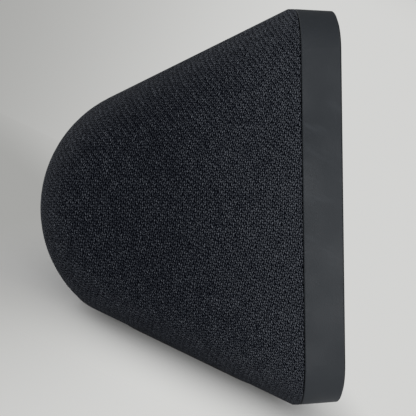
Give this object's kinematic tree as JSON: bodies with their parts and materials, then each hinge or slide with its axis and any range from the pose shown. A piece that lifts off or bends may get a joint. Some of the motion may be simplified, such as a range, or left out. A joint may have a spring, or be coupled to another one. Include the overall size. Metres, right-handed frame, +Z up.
{
  "type": "smart speaker",
  "caption": "Wedge-shaped smart speaker with a glass screen front, moulded bezel, knitted back cover, top buttons, a sliding camera shutter, a rubber foot and rear sockets.",
  "frame": {"origin": "on the table, under the middle of the outside box", "axes": "+Z up, -Y out of the glass front, +X along the speaker's width"},
  "size_m": [0.148, 0.0844, 0.0876],
  "materials": {
    "bezel_plastic": "fine matt grain",
    "front_glass": "polished",
    "display": "gloss",
    "black_foam": "matt",
    "frame_plastic": "matt",
    "button_plastic": "fine matt grain",
    "switch_stem": "satin",
    "lens_glass": "polished",
    "flex_film": "satin",
    "circuit_board": "satin",
    "rubber": "matt",
    "knit_cover": "tight knit",
    "steel": "satin",
    "aluminium": "satin",
    "basket_metal": "satin",
    "ferrite": "matt",
    "brass": "satin",
    "copper_coil": "satin",
    "cone_paper": "matt",
    "spider_cloth": "matt",
    "lead_wire": "satin"
  },
  "bodies": {
    "body": {"antennas": "flex_film", "audio_jack": "frame_plastic", "base_plate": "frame_plastic", "base_screws": "steel", "board_connectors": "frame_plastic", "board_screws": "steel", "button_board": "circuit_board", "button_flex": "flex_film", "button_switches": "frame_plastic", "camera_flex": "flex_film", "camera_lens": "lens_glass", "camera_module": "frame_plastic", "cover_glass": "front_glass", "display_flex": "flex_film", "display_gasket": "black_foam", "display_panel": "display", "fabric_cover": "knit_cover", "foot_pad": "rubber", "frame_screws": "steel", "front_bezel": "bezel_plastic", "heat_sink": "aluminium", "inner_frame": "frame_plastic", "main_board": "circuit_board", "memory_chips": "frame_plastic", "microphone_seals": "rubber", "microphones": "steel", "port_board": "circuit_board", "port_cable": "flex_film", "port_panel": "frame_plastic", "port_screws": "steel", "power_jack": "frame_plastic", "power_pin": "brass", "processor": "frame_plastic", "rear_housing": "frame_plastic", "shield_can": "steel", "speaker_basket": "basket_metal", "speaker_gasket": "black_foam", "speaker_leads": "lead_wire", "speaker_magnet": "ferrite", "speaker_screws": "steel", "speaker_top_plate": "steel", "speaker_yoke": "steel", "spider": "spider_cloth", "surround": "rubber", "thermal_pad": "rubber", "usb_socket": "steel"},
    "mute_key": {"mute_button": "button_plastic", "mute_plunger": "switch_stem"},
    "volume_down_key": {"volume_down_button": "button_plastic", "volume_down_plunger": "switch_stem"},
    "volume_up_key": {"volume_up_button": "button_plastic", "volume_up_plunger": "switch_stem"},
    "shutter": {"shutter_knob": "button_plastic", "shutter_blade": "switch_stem"},
    "cone_assembly": {"speaker_cone": "cone_paper", "dust_cap": "cone_paper", "voice_coil": "copper_coil"}
  },
  "joints": [
    {"name": "mute_press", "type": "slide", "parent": "body", "child": "mute_key", "axis": [0, -0.4463, -0.8949], "range_m": [0, 0.0005], "stiffness_N_per_m": 2000, "springref_m": -0.0003},
    {"name": "volume_down_press", "type": "slide", "parent": "body", "child": "volume_down_key", "axis": [0, -0.4463, -0.8949], "range_m": [0, 0.0005], "stiffness_N_per_m": 2000, "springref_m": -0.0003},
    {"name": "volume_up_press", "type": "slide", "parent": "body", "child": "volume_up_key", "axis": [0, -0.4463, -0.8949], "range_m": [0, 0.0005], "stiffness_N_per_m": 2000, "springref_m": -0.0003},
    {"name": "shutter_slide", "type": "slide", "parent": "body", "child": "shutter", "axis": [1, 0, 0], "range_m": [0, 0.006]},
    {"name": "cone_travel", "type": "slide", "parent": "body", "child": "cone_assembly", "axis": [0, 0.7896, 0.6136], "range_m": [-0.0015, 0.0015], "stiffness_N_per_m": 1500, "deforming": ["surround", "spider"]}
  ]
}
